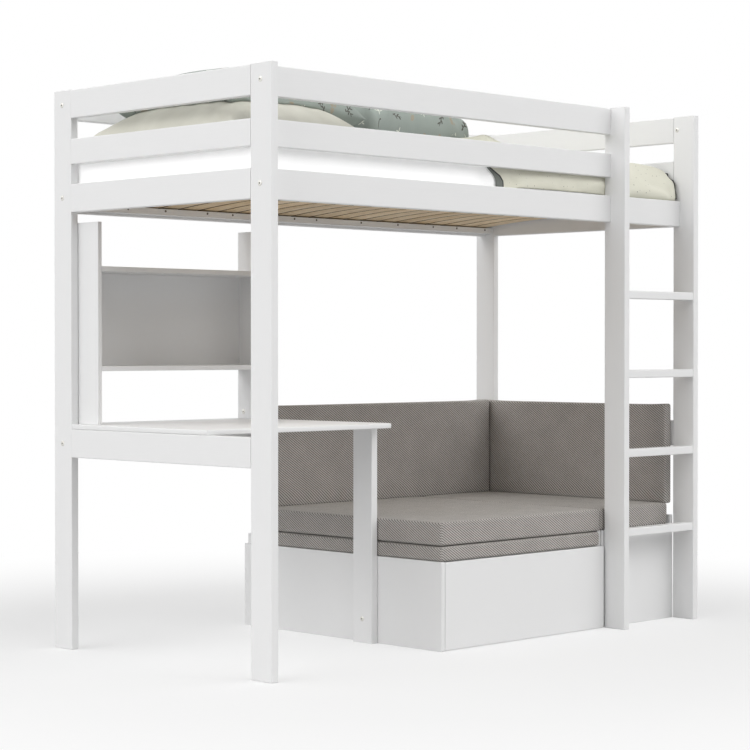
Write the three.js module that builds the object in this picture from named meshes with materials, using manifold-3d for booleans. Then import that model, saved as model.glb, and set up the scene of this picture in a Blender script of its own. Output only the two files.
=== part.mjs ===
// Loft bed with a desk, a shelf and a corner seat below, in millimetres, +Z up.
// X runs along the bed, the front faces -Y, and the origin lies on the floor under the middle of the bed.
import * as THREE from 'three';
import { mergeVertices } from 'three/addons/utils/BufferGeometryUtils.js';
import Module from 'manifold-3d';

const wasm = await Module();
wasm.setup();

// Driving dimensions
const seam = 0.25; // joint line between two boards, and under anything that only rests
const mattress = { length: 2000, width: 900, height: 118, endGap: 12, sideGap: 11, edge: 14, crown: 3 };
const board = { thick: 28, edge: 3, endEdge: 1.5 }; // solid posts and rails
const panel = { thick: 16, edge: 1.5 }; // desk, shelf and seat boards
const post = { width: 92, aboveRail: 2 };
const rails = {
  frontSetback: 62, // front rails behind the posts' front edges
  backSetback: 20, // back rails inside the posts' back edges
  bedBottom: 1422,
  bedHeight: 92,
  lowerGap: 64, // between the bed rail and the middle rail
  middleHeight: 82,
  upperGap: 67, // between the middle rail and the top rail
  topHeight: 91,
};
const ladder = {
  opening: 371,
  rungs: 4,
  firstRung: 323,
  pitch: 277,
  rungDepth: 41,
  rungHeight: 28,
  setback: 3,
};
const ledger = { depth: 37, height: 22, aboveRailBottom: 8 };
const slats = { width: 76, thick: 18, gap: 11, bow: 27, bends: 8, endPlay: 3, edge: 2 };
const strap = { width: 22, thick: 1.2, sunk: 0.6, count: 3, inset: 130, endInset: 15 };
const desk = { length: 812, underside: 718, frontSetback: 288, corner: 4 };
const deskRail = { height: 92 };
const deskLeg = { width: 88, frontSetback: 86 };
const shelf = {
  postGap: 1,
  rightInset: 16, // from the desk's right edge
  depth: 176,
  bedGap: 33, // below the bed rails
  lowerGap: 173, // between the desk and the lower board
  bayHeight: 307,
  back: 8,
  corner: 2,
};
const seat = { height: 290, frontSetback: 82, floorGap: 3, cornerRadius: 5 };
const bench = { height: 341, frontSetback: 94, uprightGap: 10, rightPanelHeight: 375 };
const drawer = {
  faceGap: 2, // round the drawer front
  topGap: 2,
  sideThick: 18,
  sideHeight: 190,
  sideBottom: 34,
  boxDepth: 780,
  sidePlay: 2, // between a drawer side and the panel beside it
  bottomThick: 6,
  bottomRise: 10, // bottom board above the sides' lower edges
  bottomHousing: 6,
  housingPlay: 0.5,
};
const runner = { width: 10, height: 24, aboveSideBottom: 84, frontInset: 10, play: 1, rest: 0.3 };
const cushion = {
  edge: 9,
  crown: 3,
  drawIn: 2,
  play: 1,
  seatHeight: 80,
  backHeight: 356,
  backThick: 70,
  sideThick: 43,
};
const cushionPlace = { benchLap: 2, rightGap: 7, backInset: 8 };
const creamPillow = { length: 583, width: 689, above: 102, below: 72, rim: 3, drawIn: 0.06, plump: 0.64 };
const creamPlace = { fromFront: 114 };
const upperPillow = { length: 590, width: 600, above: 116, below: 90, rim: 3, drawIn: 0.06, plump: 0.7 };
const upperPlace = { rise: 160, fromEnd: 60, fromFront: 188 };
const sidePillow = { length: 447, width: 620, above: 112, below: 100, rim: 6, drawIn: 0.03, plump: 0.27 };
const sidePlace = { gap: 20, fromFront: 168 };
const duvet = {
  pillowLap: 109, // under the side pillow
  headHeight: 94,
  footHeight: 52,
  settle: 2.2, // how soon its height falls from the head to the foot
  turnDown: 96,
  flapDrop: 84, // beside the mattress
  edge: 40,
  lip: 0.02,
  tuckLip: 0.4,
};
const duvetFolds = { height: 3, pitch: 210, skew: 160 };
const softGap = 2; // beside soft pieces
const softRest = 0.4; // under and between soft pieces that lie on something
const cells = { foam: [5, 8, 10], pillow: [16, 14, 1], duvet: [20, 14, 1] }; // along soft bodies' sides

// Sizes that follow from them
const length = mattress.length + 2 * mattress.endGap + 2 * board.thick;
const frontRailBack = rails.frontSetback + board.thick;
const backRailFront = frontRailBack + mattress.width + 2 * mattress.sideGap;
const backRailBack = backRailFront + board.thick;
const depth = backRailBack + rails.backSetback;
const bedTop = rails.bedBottom + rails.bedHeight;
const middleBottom = bedTop + rails.lowerGap;
const middleTop = middleBottom + rails.middleHeight;
const topBottom = middleTop + rails.upperGap;
const topTop = topBottom + rails.topHeight;
const postHeight = topTop + post.aboveRail;
const rightPostLeft = length - board.thick;
const uprightRight = rightPostLeft - ladder.opening;
const uprightLeft = uprightRight - board.thick;
const deskTop = desk.underside + panel.thick;
const ledgerTop = rails.bedBottom + ledger.aboveRailBottom + ledger.height;
const slatTop = ledgerTop + seam + slats.thick; // at the slats' ends
const slatEnds = [frontRailBack + slats.endPlay, backRailFront - slats.endPlay];
const mattressBottom = slatTop + strap.thick - strap.sunk + seam;
const mattressTop = mattressBottom + mattress.height;
const mattressLeft = board.thick + mattress.endGap;
const mattressFront = frontRailBack + mattress.sideGap;
const seatPanelRight = desk.length + seam + panel.thick;
const benchLeft = uprightLeft - bench.uprightGap - panel.thick;
const benchRight = rightPostLeft - seam;

// Materials
const lacquer = new THREE.MeshStandardMaterial({ color: '#e9e9e7', roughness: 0.42, metalness: 0 });
const pine = new THREE.MeshStandardMaterial({ color: '#c9b48d', roughness: 0.7, metalness: 0 });
const twill = new THREE.MeshStandardMaterial({ color: '#979089', roughness: 0.95, metalness: 0 });
const whiteCotton = new THREE.MeshStandardMaterial({ color: '#f3f3f1', roughness: 0.9, metalness: 0 });
const creamCotton = new THREE.MeshStandardMaterial({ color: '#dcdccb', roughness: 0.9, metalness: 0 });
const sageCotton = new THREE.MeshStandardMaterial({ color: '#aab4ac', roughness: 0.9, metalness: 0 });

// A rectangle with rounded corners, from (x0, y0) to (x1, y1).
function roundedRectangle(x0, y0, x1, y1, radius) {
  const r = Math.min(radius, (x1 - x0) / 2 - 0.1, (y1 - y0) / 2 - 0.1);
  const shape = new THREE.Shape();
  shape.absarc(x1 - r, y0 + r, r, -Math.PI / 2, 0);
  shape.absarc(x1 - r, y1 - r, r, 0, Math.PI / 2);
  shape.absarc(x0 + r, y1 - r, r, Math.PI / 2, Math.PI);
  shape.absarc(x0 + r, y0 + r, r, Math.PI, 1.5 * Math.PI);
  return shape;
}

// Turns that lay an extrusion along an axis, with its outline in the two axes that follow it in turn.
const turns = { x: [Math.PI / 2, Math.PI / 2, 0], y: [-Math.PI / 2, 0, -Math.PI / 2], z: [0, 0, 0] };
const outlineAxes = { x: ['y', 'z'], y: ['z', 'x'], z: ['x', 'y'] };

function extrudeAlong(axis, outline, from, to, material, endEdge = 0, curveSegments = 2, steps = 1) {
  const geometry = new THREE.ExtrudeGeometry(outline, {
    depth: to - from - 2 * endEdge,
    curveSegments,
    steps,
    bevelEnabled: endEdge > 0,
    bevelThickness: endEdge,
    bevelSize: endEdge,
    bevelOffset: -endEdge,
    bevelSegments: 1,
  });
  const mesh = new THREE.Mesh(geometry, material);
  mesh.rotation.set(...turns[axis]);
  mesh.position[axis] = from + endEdge;
  return mesh;
}

// A board that fills the given spans, with its grain along the given axis and its long edges eased.
function plank(name, along, spans, edge = board.edge, endEdge = 0) {
  const [u, v] = outlineAxes[along];
  const outline = roundedRectangle(spans[u][0], spans[v][0], spans[u][1], spans[v][1], edge);
  const mesh = extrudeAlong(along, outline, spans[along][0], spans[along][1], lacquer, endEdge);
  mesh.name = name;
  return mesh;
}

// The solid of a mesh in its parent's space.
function solidOf(mesh) {
  mesh.updateMatrix();
  const bare = mesh.geometry.clone().applyMatrix4(mesh.matrix);
  for (const attribute of ['normal', 'uv']) bare.deleteAttribute(attribute);
  const merged = mergeVertices(bare, 1e-3);
  return new wasm.Manifold(
    new wasm.Mesh({
      numProp: 3,
      vertProperties: new Float32Array(merged.attributes.position.array),
      triVerts: new Uint32Array(merged.index.array),
    }),
  );
}

function meshOf(solid, name, material) {
  const { numProp, vertProperties, triVerts } = solid.getMesh();
  const geometry = new THREE.BufferGeometry();
  geometry.setAttribute('position', new THREE.BufferAttribute(vertProperties, numProp));
  geometry.setIndex(new THREE.BufferAttribute(triVerts, 1));
  geometry.computeVertexNormals();
  const mesh = new THREE.Mesh(geometry, material);
  mesh.name = name;
  return mesh;
}

// A closed soft body: a box of counts cells whose skin follows shape, which takes places from -1 to 1.
function softBody(name, counts, shape, material) {
  const geometry = new THREE.BoxGeometry(2, 2, 2, ...counts);
  const places = geometry.attributes.position;
  for (let i = 0; i < places.count; i += 1) {
    places.setXYZ(i, ...shape(places.getX(i), places.getY(i), places.getZ(i)));
  }
  geometry.deleteAttribute('uv');
  geometry.computeVertexNormals();
  const mesh = new THREE.Mesh(geometry, material);
  mesh.name = name;
  return mesh;
}

// A foam cushion in a sewn cover: rounded edges, crowned faces and sides drawn in a little between the corners.
function foamCushion(name, spans, { edge, crown, drawIn }, material) {
  const axes = ['x', 'y', 'z'];
  const half = axes.map((axis) => (spans[axis][1] - spans[axis][0]) / 2);
  const order = [...half].sort((one, other) => one - other);
  const counts = half.map((h) => cells.foam[order.indexOf(h)]);
  const radius = Math.min(edge, ...half.map((h) => h * 0.6));
  // The two outer rows of cells share the rounded edge, the rest the flat between.
  const place = (t, k) => {
    const zone = 1 - 4 / counts[k];
    const flat = half[k] - radius;
    if (Math.abs(t) <= zone) return (t / zone) * flat;
    return Math.sign(t) * (flat + (radius * (Math.abs(t) - zone)) / (1 - zone));
  };
  const shape = (...unit) => {
    const p = unit.map(place);
    const core = p.map((value, k) => THREE.MathUtils.clamp(value, radius - half[k], half[k] - radius));
    const out = new THREE.Vector3(...p.map((value, k) => value - core[k])).normalize();
    const skin = core.map((value, k) => value + out.getComponent(k) * radius);
    const share = skin.map((value, k) => value / half[k]);
    const bulge = (i, j) => (1 - share[i] ** 2) * (1 - share[j] ** 2);
    return skin.map((value, k) => {
      const [i, j] = [(k + 1) % 3, (k + 2) % 3];
      const inward = half[k] === order[0] ? crown * (1 - bulge(i, j)) : drawIn * bulge(i, j);
      return value - share[k] * inward;
    });
  };
  const mesh = softBody(name, counts, shape, material);
  mesh.position.set(...axes.map((axis) => (spans[axis][0] + spans[axis][1]) / 2));
  return mesh;
}

// A stuffed pillow lying flat: full in the middle, thin at its seam, with its corners drawn out.
function pillow(name, { length: long, width, above, below, rim, drawIn, plump }, material) {
  const shape = (a, b, c) => {
    const fullness = ((1 - a ** 4) * (1 - b ** 4)) ** plump;
    const swell = c < 0 ? below : above;
    return [
      (long / 2) * a * (1 - drawIn * (1 - b * b)),
      (width / 2) * b * (1 - drawIn * (1 - a * a)),
      c * (rim + (swell - rim) * fullness),
    ];
  };
  return softBody(name, cells.pillow, shape, material);
}

// Cuts the room that others take, and a clearance round it, out of a soft body.
function giveWay(mesh, others, gap) {
  let solid = solidOf(mesh);
  for (const other of others) {
    const grown = other.clone();
    grown.geometry = other.geometry.clone();
    grown.geometry.computeBoundingBox();
    const middle = grown.geometry.boundingBox.getCenter(new THREE.Vector3());
    const size = grown.geometry.boundingBox.getSize(new THREE.Vector3());
    grown.geometry.translate(-middle.x, -middle.y, -middle.z);
    grown.geometry.scale(1 + (2 * gap) / size.x, 1 + (2 * gap) / size.y, 1 + (2 * gap) / size.z);
    grown.geometry.translate(middle.x, middle.y, middle.z);
    solid = solid.subtract(solidOf(grown));
  }
  return meshOf(solid, mesh.name, mesh.material);
}

// The five uprights
function posts() {
  const group = new THREE.Group();
  const front = [0, post.width];
  const back = [depth - post.width, depth];
  const left = [0, board.thick];
  const right = [rightPostLeft, length];
  const z = [0, postHeight];
  const add = (name, x, y) => group.add(plank(name, 'z', { x, y, z }, board.edge, board.endEdge));
  add('post_front_left', left, front);
  add('post_back_left', left, back);
  add('post_front_right', right, front);
  add('post_back_right', right, back);
  add('ladder_upright', [uprightLeft, uprightRight], [0, frontRailBack]);
  return group;
}

// The heights of the rails round the bed
const levels = {
  top: [topBottom, topTop],
  middle: [middleBottom, middleTop],
  bed: [rails.bedBottom, bedTop],
};
const deskLevel = [desk.underside - deskRail.height - seam, desk.underside - seam];

function endRails() {
  const group = new THREE.Group();
  const y = [post.width + seam, depth - post.width - seam];
  const ends = { left: [0, board.thick], right: [rightPostLeft, length] };
  for (const [side, x] of Object.entries(ends)) {
    for (const [level, z] of Object.entries(levels)) {
      group.add(plank(`${side}_${level}_rail`, 'y', { x, y, z }));
    }
  }
  group.add(plank('left_desk_rail', 'y', { x: ends.left, y, z: deskLevel }));
  group.add(plank('right_cushion_rail', 'y', { x: ends.right, y, z: deskLevel }));
  return group;
}

function sideRails() {
  const group = new THREE.Group();
  const frontY = [rails.frontSetback, frontRailBack];
  const backY = [backRailFront, backRailBack];
  const mainX = [board.thick + seam, uprightLeft - seam];
  const ladderX = [uprightRight + seam, rightPostLeft - seam];
  const fullX = [board.thick + seam, rightPostLeft - seam];
  for (const [level, z] of Object.entries(levels)) {
    group.add(plank(`front_${level}_rail`, 'x', { x: mainX, y: frontY, z }));
    group.add(plank(`back_${level}_rail`, 'x', { x: fullX, y: backY, z }));
  }
  group.add(plank('ladder_bed_rail', 'x', { x: ladderX, y: frontY, z: levels.bed }));
  group.add(plank('back_desk_rail', 'x', { x: fullX, y: backY, z: deskLevel }));
  return group;
}

function rungs() {
  const group = new THREE.Group();
  const x = [uprightRight + seam, rightPostLeft - seam];
  const y = [ladder.setback, ladder.setback + ladder.rungDepth];
  for (let i = 0; i < ladder.rungs; i += 1) {
    const bottom = ladder.firstRung + i * ladder.pitch;
    group.add(plank(`ladder_rung_${i + 1}`, 'x', { x, y, z: [bottom, bottom + ladder.rungHeight] }));
  }
  return group;
}

// Two battens on the bed rails carry the slats.
function ledgers() {
  const group = new THREE.Group();
  const x = [board.thick + seam, rightPostLeft - seam];
  const z = [ledgerTop - ledger.height, ledgerTop];
  const frontY = [frontRailBack + seam, frontRailBack + ledger.depth];
  const backY = [backRailFront - ledger.depth, backRailFront - seam];
  group.add(plank('front_slat_ledger', 'x', { x, y: frontY, z }, slats.edge));
  group.add(plank('back_slat_ledger', 'x', { x, y: backY, z }, slats.edge));
  return group;
}

// How far the sprung slats stand at y above their ends, straight from one bend to the next.
function slatRise(y) {
  const place = (slats.bends * (y - slatEnds[0])) / (slatEnds[1] - slatEnds[0]);
  const from = THREE.MathUtils.clamp(Math.floor(place), 0, slats.bends - 1);
  const arch = (bend) => (4 * slats.bow * bend * (slats.bends - bend)) / slats.bends ** 2;
  return THREE.MathUtils.lerp(arch(from), arch(from + 1), place - from);
}

// The solid of a mesh that is sprung upwards with the slats.
function sprung(mesh) {
  mesh.updateMatrix();
  const geometry = mesh.geometry.clone().applyMatrix4(mesh.matrix);
  const places = geometry.attributes.position;
  for (let i = 0; i < places.count; i += 1) places.setZ(i, places.getZ(i) + slatRise(places.getY(i)));
  return solidOf(new THREE.Mesh(geometry, mesh.material));
}

// Sprung slats held at their spacing by straps stapled along their tops, as one roll.
function slattedBase() {
  const y = slatEnds;
  const pitch = slats.width + slats.gap;
  const count = Math.floor((mattress.length + slats.gap) / pitch);
  const first = (length - count * pitch + slats.gap) / 2;
  const z = [slatTop - slats.thick, slatTop];
  const pieces = [];
  for (let i = 0; i < count; i += 1) {
    const x = first + i * pitch;
    const outline = roundedRectangle(z[0], x, z[1], x + slats.width, slats.edge);
    pieces.push(extrudeAlong('y', outline, y[0], y[1], pine, 0, 1, slats.bends));
  }
  const strapLength = count * pitch - slats.gap - 2 * strap.endInset;
  const strapStep = (y[1] - y[0] - 2 * strap.inset) / (strap.count - 1);
  for (let i = 0; i < strap.count; i += 1) {
    const piece = new THREE.Mesh(new THREE.BoxGeometry(strapLength, strap.width, strap.thick), pine);
    piece.position.set(length / 2, y[0] + strap.inset + i * strapStep, slatTop - strap.sunk + strap.thick / 2);
    pieces.push(piece);
  }
  const joined = pieces.map(sprung).reduce((sum, piece) => sum.add(piece));
  return meshOf(joined, 'slatted_base', pine);
}

// The desk top is notched round the back post and rests on two rails and its leg.
function deskAndShelf() {
  const group = new THREE.Group();
  const back = backRailBack;
  const notchX = board.thick + seam;
  const notchY = depth - post.width - seam;
  const r = desk.corner;
  const outline = new THREE.Shape();
  outline.absarc(r, desk.frontSetback + r, r, Math.PI, 1.5 * Math.PI);
  outline.absarc(desk.length - r, desk.frontSetback + r, r, -Math.PI / 2, 0);
  outline.lineTo(desk.length, back);
  outline.lineTo(notchX, back);
  outline.lineTo(notchX, notchY);
  outline.lineTo(0, notchY);
  const top = extrudeAlong('z', outline, desk.underside, deskTop, lacquer, panel.edge);
  top.name = 'desk_top';
  group.add(top);

  const legX = [desk.length - board.thick, desk.length];
  const legFront = desk.frontSetback + deskLeg.frontSetback;
  const legSpans = { x: legX, y: [legFront, legFront + deskLeg.width], z: [0, desk.underside - seam] };
  group.add(plank('desk_leg', 'z', legSpans));

  const left = board.thick + shelf.postGap;
  const right = desk.length - shelf.rightInset;
  const y = [back - shelf.depth, back];
  const standing = [deskTop + seam, rails.bedBottom - shelf.bedGap];
  const upright = (name, x) => group.add(plank(name, 'z', { x, y, z: standing }, shelf.corner, panel.edge / 2));
  upright('shelf_left_upright', [left, left + panel.thick]);
  upright('shelf_right_upright', [right - panel.thick, right]);
  const x = [left + panel.thick + seam, right - panel.thick - seam];
  const lower = deskTop + shelf.lowerGap;
  const upper = lower + panel.thick + shelf.bayHeight;
  group.add(plank('shelf_lower_board', 'x', { x, y, z: [lower, lower + panel.thick] }, panel.edge));
  group.add(plank('shelf_upper_board', 'x', { x, y, z: [upper, upper + panel.thick] }, panel.edge));
  const bay = [lower + panel.thick + seam, upper - seam];
  group.add(plank('shelf_back_panel', 'x', { x, y: [back - shelf.back, back], z: bay }, panel.edge));
  return group;
}

// The seat chest: a side panel, a back and a deck between it and the bench, with a drawer below.
function seatChest() {
  const group = new THREE.Group();
  const back = backRailBack;
  const sideX = [desk.length + seam, seatPanelRight];
  const sideSpans = { x: sideX, y: [seat.frontSetback, back], z: [0, seat.height] };
  group.add(plank('seat_side_panel', 'x', sideSpans, seat.cornerRadius));
  const deckFront = seat.frontSetback + panel.thick + drawer.faceGap;
  const x = [seatPanelRight + seam, benchLeft - seam];
  const z = [seat.height - panel.thick, seat.height];
  const deckBack = back - panel.thick - seam;
  group.add(plank('seat_deck', 'x', { x, y: [deckFront, deckBack], z }, panel.edge));
  const backX = [x[0], benchRight - panel.thick - seam];
  const backSpans = { x: backX, y: [back - panel.thick, back], z: [0, bench.height - panel.thick - seam] };
  group.add(plank('seat_back_panel', 'x', backSpans, panel.edge));

  const runnerBottom = drawer.sideBottom + runner.aboveSideBottom;
  const runnerZ = [runnerBottom, runnerBottom + runner.height];
  const runnerY = [deckFront + runner.frontInset, deckBack - seam];
  const leftX = [seatPanelRight + seam, seatPanelRight + runner.width];
  const rightX = [benchLeft - runner.width, benchLeft - seam];
  group.add(plank('drawer_runner_left', 'y', { x: leftX, y: runnerY, z: runnerZ }, panel.edge));
  group.add(plank('drawer_runner_right', 'y', { x: rightX, y: runnerY, z: runnerZ }, panel.edge));
  return group;
}

// One drawer side: a board with a channel for its runner outside and a groove for the bottom board inside.
function drawerSide(name, outerFace, inward, y) {
  const at = (inset) => outerFace + inward * inset;
  const bottom = drawer.sideBottom;
  const top = bottom + drawer.sideHeight;
  const channelLow = bottom + runner.aboveSideBottom - runner.play;
  const channelHigh = bottom + runner.aboveSideBottom + runner.height + runner.rest;
  const channelDepth = runner.width - drawer.sidePlay + runner.play;
  const grooveLow = bottom + drawer.bottomRise;
  const grooveHigh = grooveLow + drawer.bottomThick + 2 * drawer.housingPlay;
  const grooveFloor = drawer.sideThick - drawer.bottomHousing - drawer.housingPlay;
  const corners = [
    [bottom, 0], [channelLow, 0], [channelLow, channelDepth], [channelHigh, channelDepth], [channelHigh, 0],
    [top, 0], [top, drawer.sideThick], [grooveHigh, drawer.sideThick], [grooveHigh, grooveFloor],
    [grooveLow, grooveFloor], [grooveLow, drawer.sideThick], [bottom, drawer.sideThick],
  ];
  const outline = new THREE.Shape(corners.map(([z, inset]) => new THREE.Vector2(z, at(inset))));
  const side = extrudeAlong('y', outline, y[0], y[1], lacquer);
  side.name = name;
  return side;
}

function drawerBox() {
  const group = new THREE.Group();
  const frontFace = seat.frontSetback;
  const frontBack = frontFace + panel.thick;
  const faceX = [seatPanelRight + drawer.faceGap, benchLeft + panel.thick - drawer.faceGap];
  const faceZ = [seat.floorGap, seat.height - drawer.topGap];
  group.add(plank('drawer_front', 'x', { x: faceX, y: [frontFace, frontBack], z: faceZ }, panel.edge));

  const outer = [seatPanelRight + drawer.sidePlay, benchLeft - drawer.sidePlay];
  const sideY = [frontBack + seam, frontBack + drawer.boxDepth];
  group.add(drawerSide('drawer_left_side', outer[0], 1, sideY));
  group.add(drawerSide('drawer_right_side', outer[1], -1, sideY));

  const between = [outer[0] + drawer.sideThick + seam, outer[1] - drawer.sideThick - seam];
  const grooveLow = drawer.sideBottom + drawer.bottomRise;
  const bottomZ = [grooveLow + drawer.housingPlay, grooveLow + drawer.housingPlay + drawer.bottomThick];
  const housed = drawer.bottomHousing - drawer.housingPlay;
  const bottomX = [between[0] - housed, between[1] + housed];
  group.add(plank('drawer_bottom', 'x', { x: bottomX, y: sideY, z: bottomZ }, drawer.housingPlay));
  const backZ = [bottomZ[1] + seam, drawer.sideBottom + drawer.sideHeight];
  const backY = [sideY[1] - panel.thick, sideY[1]];
  group.add(plank('drawer_back', 'x', { x: between, y: backY, z: backZ }, panel.edge));
  return group;
}

// The fixed bench under the ladder
function benchBox() {
  const group = new THREE.Group();
  const back = backRailBack;
  const panelFront = seat.frontSetback + panel.thick + drawer.faceGap;
  const leftX = [benchLeft, benchLeft + panel.thick];
  const rightX = [benchRight - panel.thick, benchRight];
  const innerX = [leftX[1] + seam, rightX[0] - seam];
  const leftSpans = { x: leftX, y: [panelFront, back - panel.thick - seam], z: [0, bench.height] };
  const rightSpans = { x: rightX, y: [bench.frontSetback, back], z: [0, bench.rightPanelHeight] };
  const frontY = [bench.frontSetback, bench.frontSetback + panel.thick];
  group.add(plank('bench_left_panel', 'x', leftSpans, panel.edge));
  group.add(plank('bench_right_panel', 'x', rightSpans, seat.cornerRadius));
  group.add(plank('bench_front_panel', 'x', { x: innerX, y: frontY, z: [0, bench.height] }, panel.edge));
  const deckSpans = { x: innerX, y: [frontY[1] + seam, back], z: [bench.height - panel.thick, bench.height] };
  group.add(plank('bench_deck', 'x', deckSpans, panel.edge));
  return group;
}

function seatCushions() {
  const group = new THREE.Group();
  const back = backRailFront - seam;
  const leftX = [desk.length, benchLeft - cushionPlace.benchLap];
  const rightX = [leftX[1] + cushion.play, benchRight - panel.thick - cushionPlace.rightGap];
  const lowerZ = [seat.height + seam, bench.height - seam];
  const upperZ = [bench.height + seam, bench.height + cushion.seatHeight];
  const leanZ = [upperZ[1] + seam, upperZ[1] + cushion.backHeight];
  const front = seat.frontSetback;
  const leftY = [front, back];
  const rightY = [bench.frontSetback, back];
  const sideX = [benchRight - cushion.sideThick, benchRight];
  const backX = [desk.length + cushionPlace.backInset, sideX[0] - cushion.play];
  const backY = [back - cushion.backThick, back];
  group.add(foamCushion('lower_seat_cushion', { x: leftX, y: leftY, z: lowerZ }, cushion, twill));
  group.add(foamCushion('upper_seat_cushion', { x: leftX, y: leftY, z: upperZ }, cushion, twill));
  group.add(foamCushion('bench_cushion', { x: rightX, y: rightY, z: upperZ }, cushion, twill));
  group.add(foamCushion('back_cushion', { x: backX, y: backY, z: leanZ }, cushion, twill));
  group.add(foamCushion('side_cushion', { x: sideX, y: rightY, z: leanZ }, cushion, twill));
  return group;
}

// A duvet over the foot half: puffed, gently folded across, its front edge tucked down beside the mattress.
function duvetBetween(left, right) {
  const long = right - left;
  const base = mattressTop + softRest;
  const front = frontRailBack + softGap;
  const tuck = mattressFront - softGap;
  const back = mattressFront + mattress.width - softGap;
  const rows = cells.duvet[1];
  // A rounded edge, from a low lip to full height within the width of the edge
  const rise = (t, span, lip) => Math.sqrt(Math.min(1, ((1 - Math.abs(t)) * span) / 2 / duvet.edge + lip));
  const shape = (a, b, c) => {
    const row = Math.round(((b + 1) / 2) * rows);
    const along = (a + 1) / 2;
    const across = (b + 1) / 2;
    const under = [front, tuck][row] ?? tuck + softGap / 2 + ((back - tuck) * (row - 2)) / (rows - 2);
    const over = front + (back - front) * across;
    const low = row < 2 ? base - duvet.flapDrop : base;
    const puff = duvet.footHeight + (duvet.headHeight - duvet.footHeight) * (1 - along) ** duvet.settle;
    const turn = (2 * Math.PI * (along * long + across * duvetFolds.skew)) / duvetFolds.pitch;
    const wave = duvetFolds.height * Math.sin(turn);
    const edges = rise(a, long, duvet.lip) * rise(b, mattress.width, duvet.tuckLip);
    const high = base + softGap + (puff + wave) * edges;
    const slant = row < 2 && c < 0 ? duvet.turnDown : 0;
    const upward = (c + 1) / 2;
    return [
      left + slant + (right - left - slant) * along,
      under + (over - under) * upward,
      low + (high - low) * upward,
    ];
  };
  return softBody('duvet', cells.duvet, shape, creamCotton);
}

function bedding() {
  const group = new THREE.Group();
  const mattressSpans = {
    x: [mattressLeft, mattressLeft + mattress.length],
    y: [mattressFront, mattressFront + mattress.width],
    z: [mattressBottom, mattressTop],
  };
  const cover = { edge: mattress.edge, crown: mattress.crown, drawIn: mattress.crown };
  const block = foamCushion('mattress', mattressSpans, cover, whiteCotton);
  // The mattress lies hollow on the sprung slats.
  const slatRoom = new THREE.Mesh(new THREE.BoxGeometry(length, slatEnds[1] - slatEnds[0], 40, 1, slats.bends, 1));
  slatRoom.position.set(length / 2, (slatEnds[0] + slatEnds[1]) / 2, mattressBottom - 20);
  group.add(meshOf(solidOf(block).subtract(sprung(slatRoom)), 'mattress', whiteCotton));

  const headLeft = board.thick + softGap;
  const headFront = frontRailBack + softGap;
  const cream = pillow('cream_pillow', creamPillow, creamCotton);
  const creamX = headLeft + creamPillow.length / 2;
  // The mattress falls away a little from its middle towards its ends.
  const fall = mattress.crown * (1 - (2 * (creamX - mattressLeft)) / mattress.length) ** 2;
  const creamZ = mattressTop - fall + softRest + creamPillow.below;
  cream.position.set(creamX, headFront + creamPlace.fromFront + creamPillow.width / 2, creamZ);

  const upper = pillow('upper_printed_pillow', upperPillow, sageCotton);
  const upperLeft = headLeft + upperPlace.fromEnd;
  const upperY = headFront + upperPlace.fromFront + upperPillow.width / 2;
  upper.position.set(upperLeft + upperPillow.length / 2, upperY, mattressTop + upperPlace.rise);

  const side = pillow('side_printed_pillow', sidePillow, sageCotton);
  const sideX = upperLeft + upperPillow.length + sidePlace.gap + sidePillow.length / 2;
  const sideY = headFront + sidePlace.fromFront + sidePillow.width / 2;
  side.position.set(sideX, sideY, mattressTop + softRest + sidePillow.below);

  const duvetLeft = sideX + sidePillow.length / 2 - duvet.pillowLap;
  const spread = duvetBetween(duvetLeft, rightPostLeft - 2 * softGap);
  group.add(cream, spread);
  group.add(giveWay(upper, [cream], softRest));
  group.add(giveWay(side, [cream, upper, spread], softRest));
  return group;
}

// Everything is measured from the floor at the front left corner, and the part's origin is the middle.
const loftBed = new THREE.Group();
const corner = new THREE.Group();
corner.position.set(-length / 2, -depth / 2, 0);
corner.add(posts(), endRails(), sideRails(), rungs(), ledgers(), slattedBase());
corner.add(deskAndShelf(), seatChest(), drawerBox(), benchBox(), seatCushions(), bedding());
loftBed.add(corner);

export default loftBed;
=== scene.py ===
import math

import bmesh
import bpy
import numpy as np
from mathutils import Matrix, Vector
from mathutils.bvhtree import BVHTree


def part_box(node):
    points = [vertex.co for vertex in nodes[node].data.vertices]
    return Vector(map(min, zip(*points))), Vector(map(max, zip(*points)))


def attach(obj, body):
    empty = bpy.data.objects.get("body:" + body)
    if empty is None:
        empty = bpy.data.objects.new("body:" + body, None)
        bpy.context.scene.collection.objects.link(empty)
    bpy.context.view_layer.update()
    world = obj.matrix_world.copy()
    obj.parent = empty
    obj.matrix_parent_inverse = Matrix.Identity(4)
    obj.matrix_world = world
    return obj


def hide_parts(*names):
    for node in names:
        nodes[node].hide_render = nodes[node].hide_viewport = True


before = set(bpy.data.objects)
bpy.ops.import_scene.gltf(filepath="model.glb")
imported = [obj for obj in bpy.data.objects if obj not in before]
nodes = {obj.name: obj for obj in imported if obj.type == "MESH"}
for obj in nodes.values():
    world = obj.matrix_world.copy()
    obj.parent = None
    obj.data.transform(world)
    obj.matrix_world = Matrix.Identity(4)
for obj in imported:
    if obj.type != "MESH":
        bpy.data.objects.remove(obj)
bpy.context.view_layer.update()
bpy.ops.object.select_all(action="DESELECT")

mm = 0.001


def linear(code):  # sRGB hex to linear
    parts = [int(code[i:i + 2], 16) / 255 for i in (1, 3, 5)]
    return [c / 12.92 if c <= 0.04045 else ((c + 0.055) / 1.055) ** 2.4 for c in parts] + [1.0]


def addNode(tree, kind, values=None, links=None):  # values are settings first, then unlinked inputs
    node = tree.nodes.new("ShaderNode" + kind)
    for key, value in (values or {}).items():
        if isinstance(key, str) and hasattr(node, key):
            setattr(node, key, value)
        else:
            node.inputs[key].default_value = value
    for key, socket in (links or {}).items():
        tree.links.new(socket, node.inputs[key])
    return node


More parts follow.
